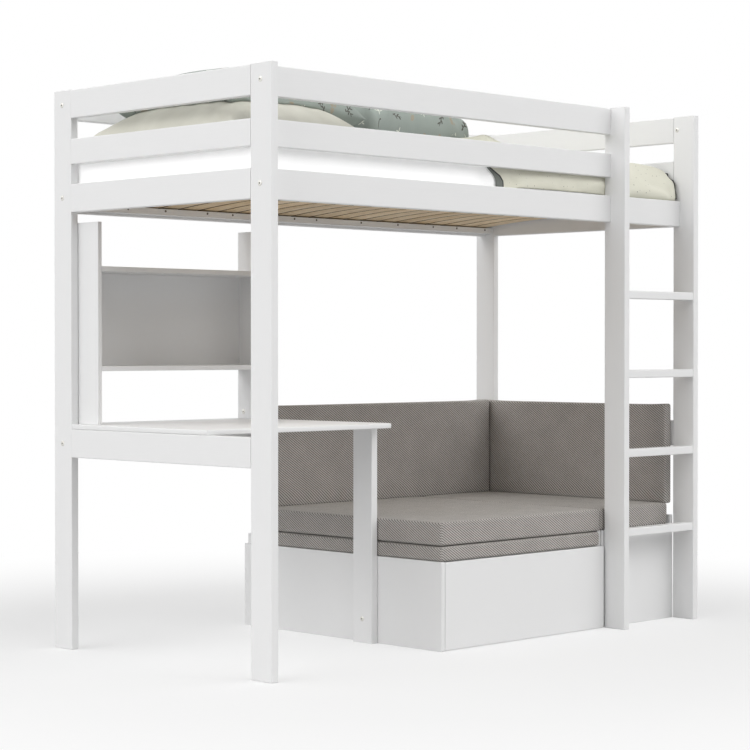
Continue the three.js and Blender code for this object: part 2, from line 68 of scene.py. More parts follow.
def newMaterial(name, cloth=False, **sockets):
    material = bpy.data.materials.new(name)
    material.use_nodes = True
    tree = material.node_tree
    shader = tree.nodes["Principled BSDF"]
    for key, value in sockets.items():
        shader.inputs[key.replace("_", " ")].default_value = value
    if cloth:  # a point's place along the cloth, or in the object
        place = addNode(tree, "UVMap", {"uv_map": "cloth"}).outputs[0]
    else:
        place = addNode(tree, "TexCoord").outputs["Object"]
    return material, tree, shader, place


def feed(tree, shader, **sockets):  # links the outputs into the inputs that they are named for
    for key, socket in sockets.items():
        tree.links.new(socket, shader.inputs[key.replace("_", " ")])


def only(piece):  # make it the one selected and active object
    bpy.ops.object.select_all(action="DESELECT")
    piece.select_set(True)
    bpy.context.view_layer.objects.active = piece


def applyAll(piece):
    only(piece)
    for modifier in list(piece.modifiers):
        bpy.ops.object.modifier_apply(modifier=modifier.name)


def settlePlace(piece):
    only(piece)
    bpy.ops.object.transform_apply(location=True, rotation=True, scale=True)


def vectorsOf(items, field):  # one row for each item of a mesh
    out = np.empty(len(items) * 3)
    items.foreach_get(field, out)
    return out.reshape(-1, 3)


def points(piece):
    return vectorsOf(piece.data.vertices, "co")


def setPoints(piece, co):
    piece.data.vertices.foreach_set("co", np.asarray(co, np.float32).ravel())
    piece.data.update()


def copyOf(piece, name):  # a copy with a mesh of its own
    twin = piece.copy()
    twin.data = piece.data.copy()
    twin.name = name
    twin.data.name = name
    bpy.context.scene.collection.objects.link(twin)
    return twin


def blockAt(name, middle, size):
    bpy.ops.mesh.primitive_cube_add(size=1, location=middle)
    block = bpy.context.object
    block.name = name
    block.scale = size
    settlePlace(block)
    return block


def addBevel(piece, width, segments, **settings):
    bevel = piece.modifiers.new("eased", "BEVEL")
    bevel.width = width * mm
    bevel.segments = segments
    for key, value in settings.items():
        setattr(bevel, key, value)


def addCut(piece, cutter):
    cut = piece.modifiers.new("cut", "BOOLEAN")
    cut.object = cutter
    cut.operation = "DIFFERENCE"


def splitEdges(piece, cuts, test):  # the test takes an edge's two ends
    only(piece)
    bpy.ops.object.mode_set(mode="EDIT")
    mesh = bmesh.from_edit_mesh(piece.data)
    for part in (mesh.verts, mesh.faces):
        for item in part:
            item.select = False
    for edge in mesh.edges:
        edge.select_set(test(edge.verts[0].co, edge.verts[1].co))
    bmesh.update_edit_mesh(piece.data)
    bpy.ops.mesh.subdivide(number_cuts=cuts)
    bpy.ops.object.mode_set(mode="OBJECT")


def paint(piece, material):
    piece.data.materials.clear()
    piece.data.materials.append(material)


def ride(piece, slot, *replaced):
    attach(piece, "bed")
    if replaced:
        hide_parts(*replaced)


# camera, floor, light
view = {"place": (-5.157, -5.087, 0.983), "turn": (89.253, 0, -44.92), "lens": 100.8}
bpy.ops.object.camera_add(location=view["place"], rotation=[math.radians(a) for a in view["turn"]])
camera = bpy.context.object
camera.data.lens = view["lens"]
camera.data.sensor_width = 36
camera.data.clip_end = 100
bpy.context.scene.camera = camera
bpy.context.scene.view_settings.view_transform = "Standard"

studio = {
    "lamps": {  # broad suns, whose shadows are soft: the side, the height in degrees and the strength of each
        "leftLamp": {"side": 180, "height": 15, "strength": 1.3},
        "leftHighLamp": {"side": 180, "height": 45, "strength": 0.46},
        "frontLamp": {"side": 270, "height": 41, "strength": 1.4},
        "rightFrontLamp": {"side": 315, "height": 30, "strength": 1.07},
        "backLamp": {"side": 135, "height": 40, "strength": 1.0},
    },
    "softness": 50,
    "sky": 0.0,
    "floor": "#e6e6e6",
    "bounce": "#c9c9c9",  # the floor as the rest of the light sees it
    "floorSize": 60,
    "shadowShare": 0.45,  # how much of the floor's own shading the camera sees
    "shadowReach": (1.2, 3.2),  # from where to where that shading fades into white
}


def seenRays(tree):  # 1 on the rays that the eye sees by
    rays = addNode(tree, "LightPath")
    either = addNode(tree, "Math", {"operation": "MAXIMUM"},
                     {0: rays.outputs["Is Camera Ray"], 1: rays.outputs["Is Glossy Ray"]})
    return addNode(tree, "Math", {"operation": "MAXIMUM"},
                   {0: either.outputs[0], 1: rays.outputs["Is Transmission Ray"]}).outputs[0]


world = bpy.data.worlds.new("studioSky")
bpy.context.scene.world = world
world.use_nodes = True
tree = world.node_tree
tree.nodes.clear()
dim = addNode(tree, "Background", {"Color": (1, 1, 1, 1), "Strength": studio["sky"]})
bright = addNode(tree, "Background", {"Color": (1, 1, 1, 1), "Strength": 1.0})
sky = addNode(tree, "MixShader", links={0: seenRays(tree), 1: dim.outputs[0], 2: bright.outputs[0]})
addNode(tree, "OutputWorld", links={"Surface": sky.outputs[0]})

for name, lamp in studio["lamps"].items():
    bpy.ops.object.light_add(type="SUN", location=(0, 0, 3))
    light = bpy.context.object
    light.name = name
    light.data.energy = lamp["strength"]
    light.data.angle = math.radians(studio["softness"])
    light.rotation_euler = (0, math.radians(90 - lamp["height"]), math.radians(lamp["side"]))

bpy.ops.mesh.primitive_plane_add(size=studio["floorSize"], location=(0, 0, -0.0005))
floor = bpy.context.object
floor.name = "floor"
material, tree, shader, place = newMaterial("paleFloor", Base_Color=linear(studio["floor"]), Roughness=0.9)
seen = seenRays(tree)
away = addNode(tree, "VectorMath", {"operation": "LENGTH"}, {0: place})
near, far = studio["shadowReach"]
fade = addNode(tree, "MapRange", {"interpolation_type": "SMOOTHSTEP", "From Min": near, "From Max": far,
               "To Min": 1 - studio["shadowShare"], "To Max": 1.0}, {"Value": away.outputs["Value"]})
share = addNode(tree, "Math", {"operation": "MULTIPLY"}, {0: fade.outputs[0], 1: seen})
tint = addNode(tree, "Mix", {"data_type": "RGBA", 6: linear(studio["bounce"]), 7: linear(studio["floor"])},
               {0: seen})
feed(tree, shader, Base_Color=tint.outputs[2])
white = addNode(tree, "Emission", {"Color": (1, 1, 1, 1), "Strength": 1.0})
mix = addNode(tree, "MixShader", links={0: share.outputs[0], 1: shader.outputs[0], 2: white.outputs[0]})
tree.links.new(mix.outputs[0], tree.nodes["Material Output"].inputs["Surface"])
paint(floor, material)
print("camera, floor and light are set")


# boards
lacquer = {
    "solid": "#ebebeb",
    "solidShade": "#e8e8e8",
    "sheet": "#e9e9e9",
    "roughness": (0.36, 0.46),
    "grainWidth": 3.2,
    "grainLength": 90,
    "mist": 1.1,  # orange peel, coarser than real so that it shows
    "bump": 0.02,
}


def sprayedLacquer(name, along):
    # satin white lacquer sprayed over sanded pine: smooth, with the grain just telling through
    material, tree, shader, place = newMaterial(name)
    squeeze = [lacquer["grainWidth"] / lacquer["grainLength"] if axis == along else 1 for axis in "xyz"]
    lengthwise = addNode(tree, "Mapping", {"Scale": squeeze}, {"Vector": place})
    grain = addNode(tree, "TexNoise", {"Scale": 1 / (lacquer["grainWidth"] * mm), "Detail": 2.5,
                    "Roughness": 0.6}, {"Vector": lengthwise.outputs[0]})
    mist = addNode(tree, "TexNoise", {"Scale": 1 / (lacquer["mist"] * mm), "Detail": 1}, {"Vector": place})
    tint = addNode(tree, "Mix", {"data_type": "RGBA", 6: linear(lacquer["solid"]),
                   7: linear(lacquer["solidShade"])}, {0: grain.outputs[0]})
    gloss = addNode(tree, "MapRange", {"From Min": 0.3, "From Max": 0.7, "To Min": lacquer["roughness"][0],
                    "To Max": lacquer["roughness"][1]}, {"Value": grain.outputs[0]})
    height = addNode(tree, "Math", {"operation": "MULTIPLY_ADD", 1: 0.25},
                     {0: mist.outputs[0], 2: grain.outputs[0]})
    bump = addNode(tree, "Bump", {"Strength": 0.6, "Distance": lacquer["bump"] * mm},
                   {"Height": height.outputs[0]})
    feed(tree, shader, Base_Color=tint.outputs[2], Roughness=gloss.outputs[0], Normal=bump.outputs[0])
    return material


def lacqueredFibreboard(name):
    # fibreboard sprayed with white lacquer: even, with only the faint orange peel of a sprayed sheet
    material, tree, shader, place = newMaterial(name, Base_Color=linear(lacquer["sheet"]), Roughness=0.4)
    mist = addNode(tree, "TexNoise", {"Scale": 1 / (lacquer["mist"] * mm), "Detail": 1.5}, {"Vector": place})
    cloud = addNode(tree, "TexNoise", {"Scale": 9, "Detail": 2}, {"Vector": place})
    gloss = addNode(tree, "MapRange", {"From Min": 0.3, "From Max": 0.7, "To Min": 0.38, "To Max": 0.44},
                    {"Value": cloud.outputs[0]})
    bump = addNode(tree, "Bump", {"Strength": 0.4, "Distance": 0.02 * mm}, {"Height": mist.outputs[0]})
    feed(tree, shader, Roughness=gloss.outputs[0], Normal=bump.outputs[0])
    return material


softNodes = ["mattress", "cream_pillow", "upper_printed_pillow", "side_printed_pillow", "duvet",
             "lower_seat_cushion", "upper_seat_cushion", "bench_cushion", "back_cushion", "side_cushion"]
solidBoards = {axis: sprayedLacquer("sprayedLacquer" + axis.upper(), axis) for axis in "xyz"}
sheetBoard = lacqueredFibreboard("lacqueredFibreboard")
for name, node in nodes.items():
    if name in softNodes or name in ("slatted_base", "desk_top"):
        continue
    low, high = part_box(name)
    extent = high - low
    thin = min(extent) < 0.02 and not name.endswith("ledger")
    longest = "xyz"[max(range(3), key=lambda k: extent[k])]
    node.material_slots[0].material = sheetBoard if thin else solidBoards[longest]

# the desk top, with one rounded corner where one walks past it
deskTop = {"corner": 38, "edge": 2.5, "notch": (28.25, 92.25)}
low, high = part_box("desk_top")
desk = blockAt("desk_board", (low + high) / 2, high - low)
corner = desk.vertex_groups.new(name="corner")
frontRight = [v.index for v in desk.data.vertices if v.co.x > high.x - mm and v.co.y < low.y + mm]
corner.add(frontRight, 1.0, "REPLACE")
addBevel(desk, deskTop["corner"], 10, limit_method="VGROUP", vertex_group="corner")
notch = [2 * size * mm for size in deskTop["notch"]]  # round the back left post
cutter = blockAt("notch", (low.x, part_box("post_back_left")[1].y, low.z), (*notch, 0.2))
addCut(desk, cutter)
addBevel(desk, deskTop["edge"], 3, limit_method="ANGLE", angle_limit=math.radians(40))
applyAll(desk)
bpy.data.objects.remove(cutter)
bpy.ops.object.shade_smooth_by_angle(angle=math.radians(35))
paint(desk, sheetBoard)
ride(desk, "white_lacquer", "desk_top")
print("boards are lacquered")


# bolt covers on the faces to the left, and the screws that hold the ledgers
cover = {"head": 15, "proud": 1.6, "edge": 0.5, "socket": 5.5, "sides": 6, "flange": 17.5}
screw = {"head": 7, "proud": 0.5, "edge": 0.2, "socket": 2.6, "sides": 4, "flange": 7.6}
coverPlaces = [(-1040, 486, 1772), (-1040, 485, 1470), (-1040, 486, 670), (-1040, -482, 1771),
               (-1040, -480, 1466), (1012, -454, 1773), (-260, 480, 758), (-256, -111, 80)]
screwRow = [-930, -800, -640, -455, -340, -180, -47, 61, 288, 481, 674, 806, 968]


def satinMetal(name, tint):
    # zinc-plated steel, dulled: a soft broad shine with fine brushed streaks
    material, tree, shader, place = newMaterial(name, Base_Color=linear(tint), Metallic=0.85)
    streaks = addNode(tree, "TexNoise", {"Scale": 1 / (0.8 * mm), "Detail": 2}, {"Vector": place})
    rough = addNode(tree, "MapRange", {"To Min": 0.38, "To Max": 0.55}, {"Value": streaks.outputs[0]})
    feed(tree, shader, Roughness=rough.outputs[0])
    return material


def paintedSocketShade(name):
    # painted shade: a near-black colour for the shadow inside a socket, which returns almost no light
    material, tree, shader, place = newMaterial(name, Base_Color=linear("#26241f"))
    grime = addNode(tree, "TexNoise", {"Scale": 1 / (0.5 * mm)}, {"Vector": place})
    rough = addNode(tree, "MapRange", {"To Min": 0.6, "To Max": 0.85}, {"Value": grime.outputs[0]})
    feed(tree, shader, Roughness=rough.outputs[0])
    return material


coverMetal = satinMetal("satinZinc", "#d3d1cc")
screwMetal = satinMetal("dullSteel", "#6a655f")
hollow = paintedSocketShade("paintedSocketShade")


def disc(sides, across, low, high):  # an upright prism, in mm
    bpy.ops.mesh.primitive_cylinder_add(vertices=sides, radius=across / 2 * mm, depth=(high - low) * mm,
                                        location=(0, 0, (low + high) / 2 * mm))
    return bpy.context.object


def fastener(name, size, metal, turn):
    # a round head on a thin flange, with a socket; it faces up until it is turned
    sunk, flangeTop = -0.5, 0.35
    head = disc(32, size["head"], sunk, size["proud"])
    addBevel(head, size["edge"], 2)
    applyAll(head)
    cutter = disc(size["sides"], size["socket"], 0.3 * size["proud"], 1.3 * size["proud"])
    addCut(head, cutter)
    applyAll(head)
    bpy.data.objects.remove(cutter)
    paint(head, metal)
    head.data.materials.append(hollow)
    # painted shade: the socket's floor and walls take the near-black colour
    for face in head.data.polygons:
        middle = face.center / mm
        if math.hypot(middle.x, middle.y) < 0.52 * size["socket"] and -0.4 < middle.z < size["proud"] - 0.02:
            face.material_index = 1
    paint(disc(32, size["flange"], sunk, flangeTop), metal)
    head.select_set(True)
    bpy.context.view_layer.objects.active = head
    bpy.ops.object.join()
    settlePlace(head)
    head.rotation_euler = turn
    head.name = name
    settlePlace(head)
    bpy.ops.object.shade_smooth_by_angle(angle=math.radians(40))
    return head


def fastenAt(model, name, places):  # the model takes the first place, and its copies the rest
    shape = points(model)
    for i, place in enumerate(places):
        piece = model if i == 0 else copyOf(model, name)
        piece.name = f"{name}_{i + 1}"
        setPoints(piece, shape + np.array(place) * mm)
        ride(piece, "white_lacquer")


ledgerLow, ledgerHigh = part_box("back_slat_ledger")
screwHeight = (ledgerLow.z + ledgerHigh.z) / 2 / mm + 3
fastenAt(fastener("bolt_cover", cover, coverMetal, (0, -math.pi / 2, 0)), "bolt_cover", coverPlaces)
fastenAt(fastener("back_ledger_screw", screw, screwMetal, (math.pi / 2, 0, 0)), "back_ledger_screw",
         [(x, ledgerLow.y / mm, screwHeight) for x in screwRow])
fastenAt(fastener("front_ledger_screw", screw, screwMetal, (-math.pi / 2, 0, 0)), "front_ledger_screw",
         [(x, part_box("front_slat_ledger")[1].y / mm, screwHeight) for x in screwRow])
print("fasteners are set")


# slats
slat = {"width": 76, "thick": 18, "gap": 11, "count": 23, "edge": 2.5, "bow": 27, "bends": 15,
        "straw": "#f4e3c6", "growthLine": "#cfae7c", "paintedSideShade": "#5d4a34"}
strap = {"width": 22, "thick": 1.2, "inset": 130, "short": 30, "rows": 3, "selvedge": 0.4, "rib": 3.2}
slatLow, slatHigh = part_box("slatted_base")


def slatBow(y):  # how far a sprung slat stands above its ends
    middle, half = (slatLow.y + slatHigh.y) / 2, (slatHigh.y - slatLow.y) / 2
    return slat["bow"] * mm * (1 - ((y - middle) / half) ** 2)


def sawnPine(name):
    # planed pine slats, unfinished: straw colour with darker growth lines along each slat
    material, tree, shader, place = newMaterial(name, Roughness=0.68)
    pitch = (slat["width"] + slat["gap"]) * mm
    split = addNode(tree, "SeparateXYZ", links={0: place})
    row = addNode(tree, "Math", {"operation": "MULTIPLY_ADD", 1: 1 / pitch, 2: 40.5}, {0: split.outputs[0]})
    whole = addNode(tree, "Math", {"operation": "FLOOR"}, {0: row.outputs[0]})
    seed = addNode(tree, "TexWhiteNoise", {"noise_dimensions": "1D"}, {"W": whole.outputs[0]})
    shift = addNode(tree, "VectorMath", {"operation": "SCALE", "Scale": 3.0}, {0: seed.outputs["Color"]})
    moved = addNode(tree, "VectorMath", {"operation": "ADD"}, {0: place, 1: shift.outputs[0]})
    lengthwise = addNode(tree, "Mapping", {"Scale": (1, 0.06, 1)}, {"Vector": moved.outputs[0]})
    wander = addNode(tree, "TexNoise", {"Scale": 14, "Detail": 2}, {"Vector": lengthwise.outputs[0]})
    rings = addNode(tree, "TexNoise", {"Scale": 190, "Detail": 3, "Roughness": 0.62, "Distortion": 0.4},
                    {"Vector": lengthwise.outputs[0]})
    grain = addNode(tree, "Math", {"operation": "MULTIPLY_ADD", 1: 0.55},
                    {0: wander.outputs[0], 2: rings.outputs[0]})
    ramp = addNode(tree, "ValToRGB", links={0: grain.outputs[0]})
    for stop, position, tint in zip(ramp.color_ramp.elements, (0.55, 0.98), ("straw", "growthLine")):
        stop.position = position
        stop.color = linear(slat[tint])
    tone = addNode(tree, "MapRange", {"To Min": 0.9, "To Max": 1.06}, {"Value": seed.outputs["Value"]})
    toned = addNode(tree, "VectorMath", {"operation": "SCALE"}, {0: ramp.outputs[0], "Scale": tone.outputs[0]})
    bump = addNode(tree, "Bump", {"Strength": 0.5, "Distance": 0.15 * mm}, {"Height": rings.outputs[0]})
    # painted shade: faces that look sideways are mixed towards dark brown, for the shade in the gaps between
    # the slats
    facing = addNode(tree, "SeparateXYZ", links={0: addNode(tree, "NewGeometry").outputs["True Normal"]})
    sideways = addNode(tree, "Math", {"operation": "ABSOLUTE"}, {0: facing.outputs[0]})
    edge = addNode(tree, "MapRange", {"From Min": 0.5, "From Max": 0.8}, {"Value": sideways.outputs[0]})
    sideShaded = addNode(tree, "Mix", {"data_type": "RGBA", 7: linear(slat["paintedSideShade"])},
                    {0: edge.outputs[0], 6: toned.outputs[0]})
    feed(tree, shader, Base_Color=sideShaded.outputs[2], Normal=bump.outputs[0])
    return material


def wovenTape(name):
    # polyester webbing: close ribs across its width, coarser than real so that they show
    material, tree, shader, place = newMaterial(name, Base_Color=linear("#d9d8d3"), Roughness=0.85)
    ribs = addNode(tree, "TexWave", {"wave_type": "BANDS", "bands_direction": "X",
                   "Scale": 1 / (strap["rib"] * mm) / math.pi}, {"Vector": place})
    bump = addNode(tree, "Bump", {"Strength": 0.7, "Distance": 0.3 * mm}, {"Height": ribs.outputs[1]})
    feed(tree, shader, Normal=bump.outputs[0])
    return material


pineWood = sawnPine("planedPine")
slatTop = slatLow.z + slat["thick"] * mm
pitch = (slat["width"] + slat["gap"]) * mm
middle = (slatLow.x + slat["width"] / 2 * mm, (slatLow.y + slatHigh.y) / 2, slatLow.z + slat["thick"] / 2 * mm)
firstSlat = blockAt("slat_1", middle, (slat["width"] * mm, slatHigh.y - slatLow.y, slat["thick"] * mm))
addBevel(firstSlat, slat["edge"], 2)
applyAll(firstSlat)
splitEdges(firstSlat, slat["bends"], lambda a, b: abs(a.y - b.y) > 0.5)
co = points(firstSlat)
co[:, 2] += slatBow(co[:, 1])
setPoints(firstSlat, co)
bpy.ops.object.shade_smooth_by_angle(angle=math.radians(40))
paint(firstSlat, pineWood)
ride(firstSlat, "pine", "slatted_base")
for i in range(1, slat["count"]):
    piece = copyOf(firstSlat, f"slat_{i + 1}")
    setPoints(piece, points(firstSlat) + [i * pitch, 0, 0])
    ride(piece, "pine")

tape = wovenTape("strapWebbing")
run = slat["count"] * pitch - (slat["gap"] + strap["short"]) * mm
step = ((slatHigh.y - slatLow.y) - 2 * strap["inset"] * mm) / (strap["rows"] - 1)
for i in range(strap["rows"]):
    y = slatLow.y + strap["inset"] * mm + i * step
    middle = (0, y, slatTop + slatBow(y) + strap["thick"] / 2 * mm)
    piece = blockAt(f"slat_strap_{i + 1}", middle, (run, strap["width"] * mm, strap["thick"] * mm))
    addBevel(piece, strap["selvedge"], 2)
    applyAll(piece)
    paint(piece, tape)
    ride(piece, "pine")
print("slats are laid")


def blowUp(piece, pressure, loosen, travel, frames=20, bending=0.5, held=None):
    # fills the piece as cloth under pressure, with some spare cloth for creases, and caps how far a point moves
    start = points(piece)
    cloth = piece.modifiers.new("filling", "CLOTH")
    cloth.settings.quality = 5
    cloth.settings.mass = 0.25
    cloth.settings.use_pressure = True
    cloth.settings.uniform_pressure_force = pressure
    cloth.settings.shrink_min = -loosen
    cloth.settings.bending_stiffness = bending
    cloth.settings.effector_weights.gravity = 0
    if held:
        cloth.settings.vertex_group_mass = held
    for step in range(1, frames + 1):
        bpy.context.scene.frame_set(step)
    moved = points(piece.evaluated_get(bpy.context.evaluated_depsgraph_get())) - start
    piece.modifiers.remove(cloth)
    bpy.context.scene.frame_set(1)
    far = np.linalg.norm(moved, axis=1, keepdims=True)
    start = start + moved * np.minimum(1, travel / np.maximum(far, 1e-9))
    setPoints(piece, start)


def ease(value, start, end):
    t = np.clip((value - start) / (end - start), 0, 1)
    return t * t * (3 - 2 * t)


def keepIn(piece, low, high):
    setPoints(piece, np.clip(points(piece), low, high))


def finer(piece, levels=1):
    smooth = piece.modifiers.new("finer", "SUBSURF")
    smooth.levels = levels
    smooth.render_levels = levels
    applyAll(piece)
    bpy.ops.object.shade_smooth()


def boxMap(piece):  # each face takes the two axes that it lies in, to the right and up as seen from outside
    mesh = piece.data
    layer = mesh.uv_layers.new(name="cloth")
    co = points(piece)
    corners = np.empty(len(mesh.loops), int)
    mesh.loops.foreach_get("vertex_index", corners)
    facing = vectorsOf(mesh.polygons, "normal")
    counts = np.empty(len(mesh.polygons), int)
    mesh.polygons.foreach_get("loop_total", counts)
    axis = np.repeat(np.argmax(np.abs(facing), axis=1), counts)
    sign = np.sign(np.repeat(facing, counts, axis=0)[np.arange(len(axis)), axis])
    x, y, z = co[corners].T
    u = np.where(axis == 0, y * sign, np.where(axis == 1, -x * sign, x))
    v = np.where(axis == 2, y * sign, z)
    layer.data.foreach_set("uv", np.column_stack([u, v]).astype(np.float32).ravel())


# foam cushions in fitted covers
foam = {"edge": 9, "bends": 4, "cell": 18, "pressure": 3.0, "loosen": 0.004, "travel": 5, "inset": 2.2}


def foamCushion(name, node):
    low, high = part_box(node)
    inset = foam["inset"] * mm
    rest = inset - 0.3 * mm  # the face that it rests on stays full
    size = high - low - Vector((2 * inset, 2 * inset, 2 * inset - rest))
    piece = blockAt(name, (low + high) / 2 - Vector((0, 0, rest / 2)), size)
    addBevel(piece, foam["edge"], foam["bends"])
    applyAll(piece)
    step = foam["cell"] * mm
    for k in range(3):
        flat = size[k] - 2 * foam["edge"] * mm
        splitEdges(piece, max(2, round(flat / step) - 1), lambda a, b: abs(abs(a[k] - b[k]) - flat) < 1e-5)
    start = points(piece)
    blowUp(piece, foam["pressure"], foam["loosen"], foam["travel"] * mm)
    co = points(piece)
    for k in (0, 1):  # its sides swell, but don't draw in
        middle = (low[k] + high[k]) / 2
        out = np.sign(start[:, k] - middle)
        near = np.abs(start[:, k] - middle) > size[k] / 2 - foam["edge"] * mm - 1e-6
        far = np.maximum(out * (co[:, k] - middle), out * (start[:, k] - middle))
        co[near, k] = (middle + out * far)[near]
    setPoints(piece, co)
    keepIn(piece, np.array(low) + 0.0002, np.array(high) - 0.0002)
    finer(piece)
    boxMap(piece)
    paint(piece, cushionTwill)
    ride(piece, "grey_twill", node)
    return piece


twill = {
    "pale": "#c9c5c0",
    "dark": "#78736f",
    "warp": 3.3,  # mm between yarns, coarser than real so that the ribs show
    "weft": 2.1,
    "height": 0.6,
}


def wovenTwill(name):
    # heavy two-tone twill: pale warp over dark weft, stepping down to the right in diagonal ribs
    material, tree, shader, place = newMaterial(name, cloth=True, Roughness=0.94, Sheen_Weight=0.1,
                                                Sheen_Roughness=0.5)
    split = addNode(tree, "SeparateXYZ", links={0: place})
    farOff = 4000.0  # yarns are counted from there, so that no count is below 0
    across, up = [addNode(tree, "Math", {"operation": "MULTIPLY_ADD", 1: 1 / (twill[yarn] * mm), 2: farOff},
                          {0: split.outputs[k]}) for k, yarn in enumerate(("warp", "weft"))]
    column = addNode(tree, "Math", {"operation": "FLOOR"}, {0: across.outputs[0]})
    row = addNode(tree, "Math", {"operation": "FLOOR"}, {0: up.outputs[0]})
    stair = addNode(tree, "Math", {"operation": "ADD"}, {0: column.outputs[0], 1: row.outputs[0]})
    turn = addNode(tree, "Math", {"operation": "MODULO", 1: 4.0}, {0: stair.outputs[0]})
    warpOver = addNode(tree, "Math", {"operation": "LESS_THAN", 1: 1.5}, {0: turn.outputs[0]})
    rounds = []
    for yarn in (across, up):
        part = addNode(tree, "Math", {"operation": "FRACT"}, {0: yarn.outputs[0]})
        side = addNode(tree, "Math", {"operation": "MULTIPLY", 1: math.pi}, {0: part.outputs[0]})
        rounds.append(addNode(tree, "Math", {"operation": "SINE"}, {0: side.outputs[0]}))
    height = addNode(tree, "Mix", {"data_type": "FLOAT"},
                     {0: warpOver.outputs[0], 2: rounds[1].outputs[0], 3: rounds[0].outputs[0]})
    fuzz = addNode(tree, "TexNoise", {"Scale": 1 / (1.2 * mm), "Detail": 2}, {"Vector": place})
    cloud = addNode(tree, "TexNoise", {"Scale": 11, "Detail": 3, "Roughness": 0.6}, {"Vector": place})
    facing = addNode(tree, "SeparateXYZ", links={0: addNode(tree, "NewGeometry").outputs["True Normal"]})
    paintedTopLight = addNode(tree, "MapRange", {"From Min": 0.8, "From Max": 0.97, "To Min": 1.0, "To Max": 0.25},
                      {"Value": facing.outputs[2]})
    middling = addNode(tree, "Math", {"operation": "SUBTRACT", 1: 0.7}, {0: warpOver.outputs[0]})
    contrast = addNode(tree, "Math", {"operation": "MULTIPLY_ADD", 2: 0.7},
                       {0: middling.outputs[0], 1: paintedTopLight.outputs[0]})
    yarns = addNode(tree, "Mix", {"data_type": "RGBA", 6: linear(twill["dark"]), 7: linear(twill["pale"])},
                    {0: contrast.outputs[0]})  # painted light: on faces that look up the yarns blend towards the pale one, so the tops look paler
    # painted shade and highlight: each yarn is darker at its sides and lighter along its crown; it is
    # multiplied with the random cloudy tone below
    yarnShade = addNode(tree, "MapRange", {"To Min": 0.72, "To Max": 1.06}, {"Value": height.outputs[0]})
    worn = addNode(tree, "MapRange", {"From Min": 0.3, "From Max": 0.7, "To Min": 0.94, "To Max": 1.06},
                   {"Value": cloud.outputs[0]})
    shade = addNode(tree, "Math", {"operation": "MULTIPLY"}, {0: yarnShade.outputs[0], 1: worn.outputs[0]})
    hair = addNode(tree, "MapRange", {"To Min": 0.88, "To Max": 1.12}, {"Value": fuzz.outputs[0]})
    total = addNode(tree, "Math", {"operation": "MULTIPLY"}, {0: shade.outputs[0], 1: hair.outputs[0]})
    tinted = addNode(tree, "VectorMath", {"operation": "SCALE"},
                     {0: yarns.outputs[2], "Scale": total.outputs[0]})
    bump = addNode(tree, "Bump", {"Strength": 0.7, "Distance": twill["height"] * mm},
                   {"Height": height.outputs[0]})
    feed(tree, shader, Base_Color=tinted.outputs[0], Normal=bump.outputs[0])
    return material


cushionTwill = wovenTwill("cushionTwill")
seatNodes = ("lower_seat_cushion", "upper_seat_cushion", "bench_cushion")
seats = [foamCushion(node.replace("cushion", "pad"), node) for node in seatNodes]
# cushions that stand on the seat: their foot sinks in and bridges the joints, and their top springs up
standing = {"stations": 60, "end": 20, "sunk": 3, "joint": 18, "near": 12, "foot": (50, 12), "raised": 6,
            "raisedFrom": 100}
trees = [BVHTree.FromObject(pad, bpy.context.evaluated_depsgraph_get()) for pad in seats]
for node, axis in (("back_cushion", 0), ("side_cushion", 1)):
    piece = foamCushion(node.replace("cushion", "pad"), node)
    co = points(piece)
    low, high = co[:, 2].min(), co[:, 2].max()
    end = standing["end"] * mm
    stations = np.linspace(co[:, axis].min() + end, co[:, axis].max() - end, standing["stations"])
    spot = Vector((co[:, 0].min(), co[:, 1].min(), high))  # on the side that shows
    drop = []
    for place in stations:  # it stands on the seat all along, pressed down a little by its weight
        seat = []
        for tree in trees:
            for aside in (-standing["joint"], 0, standing["joint"]):
                spot[axis] = place + aside * mm
                hit = tree.ray_cast(spot, Vector((0, 0, -1)))[0]
                seat.append(hit.z if hit else 0)
        own = co[np.abs(co[:, axis] - place) < standing["near"] * mm, 2].min()
        drop.append(max(seat) - own - standing["sunk"] * mm)
    bottom = ease(high - co[:, 2], *[high - low - up * mm for up in standing["foot"]])
    top = ease(co[:, 2] - low, standing["raisedFrom"] * mm, high - low)
    co[:, 2] += np.interp(co[:, axis], stations, drop) * bottom + standing["raised"] * mm * top
    setPoints(piece, co)
print("cushions are made")

# bedding
cotton = {
    "white": "#ffffff",
    "cream": "#e9e8d9",
    "creamShade": "#e2e0cf",
    "pillow": "#e7e6da",
    "pillowShade": "#cccabd",
    "speck": "#4c443c",
    "speckPitch": 26,
    "reverse": "#70746f",
    "piping": "#2b2b29",
    "sage": "#9ea7a0",
    "sageShade": "#949d97",
    "weave": 1.4,  # mm between threads, coarser than real so that it shows
    "slub": 7,
}
leafPrint = {
    "pitch": 66,
    "twig": "#55544d",
    "pod": "#a39a88",
    "blossom": "#e4e6da",
    "size": 1.35,
    "twigLength": 17,
    "podLength": 13,
    "blossomSize": 12,
}


